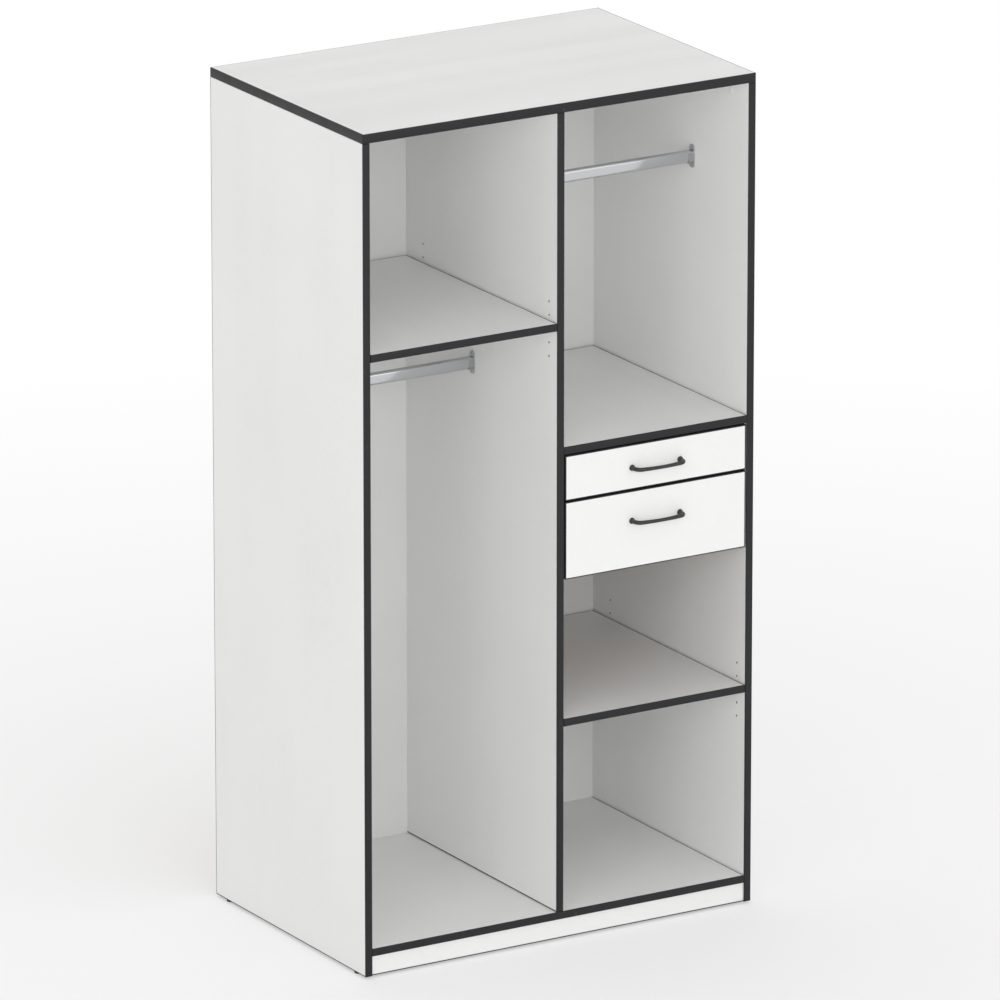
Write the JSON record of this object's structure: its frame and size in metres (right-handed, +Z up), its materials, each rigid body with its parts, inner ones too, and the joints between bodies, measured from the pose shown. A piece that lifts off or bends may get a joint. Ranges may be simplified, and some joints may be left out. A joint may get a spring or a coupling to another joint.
{
  "type": "wardrobe",
  "caption": "Open-fronted wardrobe with a centre partition, shelves, hanging rails and two inset drawers on roller runners.",
  "frame": {"origin": "on the floor under the middle of the carcass, at the underside of the centre foot", "axes": "+X to the right seen from the front, -Y out of the open front, +Z up"},
  "size_m": [1.03, 0.7145, 1.98],
  "materials": {
    "white_board": "white melamine-faced particleboard with dark edge bands",
    "thin_back": "thin fibreboard, white lacquered inside",
    "rail_chrome": "chromed oval tube",
    "socket_zinc": "nickel-plated zinc casting",
    "pin_steel": "nickel-plated steel",
    "runner_steel": "white powder-coated steel sheet",
    "roller_nylon": "natural nylon",
    "handle_metal": "dark lacquered metal bow",
    "foot_plastic": "moulded black plastic"
  },
  "bodies": {
    "carcass": {"left_side_panel": "white_board", "right_side_panel": "white_board", "centre_partition": "white_board", "top_panel": "white_board", "bottom_panel": "white_board", "plinth_front": "white_board", "plinth_rear": "white_board", "back_panel_left": "thin_back", "back_panel_right": "thin_back", "shelf_left": "white_board", "shelf_over_drawers": "white_board", "shelf_lower_right": "white_board", "left_shelf_pin_front_left": "pin_steel", "left_shelf_pin_front_right": "pin_steel", "left_shelf_pin_rear_left": "pin_steel", "left_shelf_pin_rear_right": "pin_steel", "lower_shelf_pin_front_left": "pin_steel", "lower_shelf_pin_front_right": "pin_steel", "lower_shelf_pin_rear_left": "pin_steel", "lower_shelf_pin_rear_right": "pin_steel", "left_rail": "rail_chrome", "right_rail": "rail_chrome", "left_rail_socket_left": "socket_zinc", "left_rail_socket_right": "socket_zinc", "right_rail_socket_left": "socket_zinc", "right_rail_socket_right": "socket_zinc", "glide_front_left": "foot_plastic", "glide_front_right": "foot_plastic", "glide_rear_left": "foot_plastic", "glide_rear_right": "foot_plastic", "centre_foot": "foot_plastic", "upper_carcass_runner_left": "runner_steel", "upper_carcass_runner_right": "runner_steel", "lower_carcass_runner_left": "runner_steel", "lower_carcass_runner_right": "runner_steel"},
    "upper_drawer": {"upper_drawer_front": "white_board", "upper_drawer_side_left": "white_board", "upper_drawer_side_right": "white_board", "upper_drawer_back": "white_board", "upper_drawer_base": "thin_back", "upper_drawer_handle": "handle_metal", "upper_drawer_runner_left": "runner_steel", "upper_drawer_runner_right": "runner_steel"},
    "lower_drawer": {"lower_drawer_front": "white_board", "lower_drawer_side_left": "white_board", "lower_drawer_side_right": "white_board", "lower_drawer_back": "white_board", "lower_drawer_base": "thin_back", "lower_drawer_handle": "handle_metal", "lower_drawer_runner_left": "runner_steel", "lower_drawer_runner_right": "runner_steel"},
    "upper_front_roller_left": {"upper_front_roller_left": "roller_nylon"},
    "upper_front_roller_right": {"upper_front_roller_right": "roller_nylon"},
    "upper_rear_roller_left": {"upper_rear_roller_left": "roller_nylon"},
    "upper_rear_roller_right": {"upper_rear_roller_right": "roller_nylon"},
    "lower_front_roller_left": {"lower_front_roller_left": "roller_nylon"},
    "lower_front_roller_right": {"lower_front_roller_right": "roller_nylon"},
    "lower_rear_roller_left": {"lower_rear_roller_left": "roller_nylon"},
    "lower_rear_roller_right": {"lower_rear_roller_right": "roller_nylon"}
  },
  "joints": [
    {"name": "upper_drawer_slide", "type": "slide", "parent": "carcass", "child": "upper_drawer", "axis": [0, -1, 0], "range_m": [0, 0.4]},
    {"name": "lower_drawer_slide", "type": "slide", "parent": "carcass", "child": "lower_drawer", "axis": [0, -1, 0], "range_m": [0, 0.4]},
    {"name": "upper_front_roller_left_spin", "type": "hinge", "parent": "carcass", "child": "upper_front_roller_left", "pos_m": [0.0138, -0.304, 1.073], "axis": [1, 0, 0], "continuous": true},
    {"name": "upper_front_roller_right_spin", "type": "hinge", "parent": "carcass", "child": "upper_front_roller_right", "pos_m": [0.4922, -0.304, 1.073], "axis": [1, 0, 0], "continuous": true},
    {"name": "upper_rear_roller_left_spin", "type": "hinge", "parent": "upper_drawer", "child": "upper_rear_roller_left", "pos_m": [0.0138, 0.2143, 1.0705], "axis": [1, 0, 0], "continuous": true},
    {"name": "upper_rear_roller_right_spin", "type": "hinge", "parent": "upper_drawer", "child": "upper_rear_roller_right", "pos_m": [0.4922, 0.2143, 1.0705], "axis": [1, 0, 0], "continuous": true},
    {"name": "lower_front_roller_left_spin", "type": "hinge", "parent": "carcass", "child": "lower_front_roller_left", "pos_m": [0.0138, -0.304, 0.887], "axis": [1, 0, 0], "continuous": true},
    {"name": "lower_front_roller_right_spin", "type": "hinge", "parent": "carcass", "child": "lower_front_roller_right", "pos_m": [0.4922, -0.304, 0.887], "axis": [1, 0, 0], "continuous": true},
    {"name": "lower_rear_roller_left_spin", "type": "hinge", "parent": "lower_drawer", "child": "lower_rear_roller_left", "pos_m": [0.0138, 0.2143, 0.8845], "axis": [1, 0, 0], "continuous": true},
    {"name": "lower_rear_roller_right_spin", "type": "hinge", "parent": "lower_drawer", "child": "lower_rear_roller_right", "pos_m": [0.4922, 0.2143, 0.8845], "axis": [1, 0, 0], "continuous": true}
  ],
  "couplings": [
    {"joint": "upper_front_roller_left_spin", "follows": "upper_drawer_slide", "rad_per_m": 105.26},
    {"joint": "upper_front_roller_right_spin", "follows": "upper_drawer_slide", "rad_per_m": 105.26},
    {"joint": "upper_rear_roller_left_spin", "follows": "upper_drawer_slide", "rad_per_m": 105.26},
    {"joint": "upper_rear_roller_right_spin", "follows": "upper_drawer_slide", "rad_per_m": 105.26},
    {"joint": "lower_front_roller_left_spin", "follows": "lower_drawer_slide", "rad_per_m": 105.26},
    {"joint": "lower_front_roller_right_spin", "follows": "lower_drawer_slide", "rad_per_m": 105.26},
    {"joint": "lower_rear_roller_left_spin", "follows": "lower_drawer_slide", "rad_per_m": 105.26},
    {"joint": "lower_rear_roller_right_spin", "follows": "lower_drawer_slide", "rad_per_m": 105.26}
  ]
}
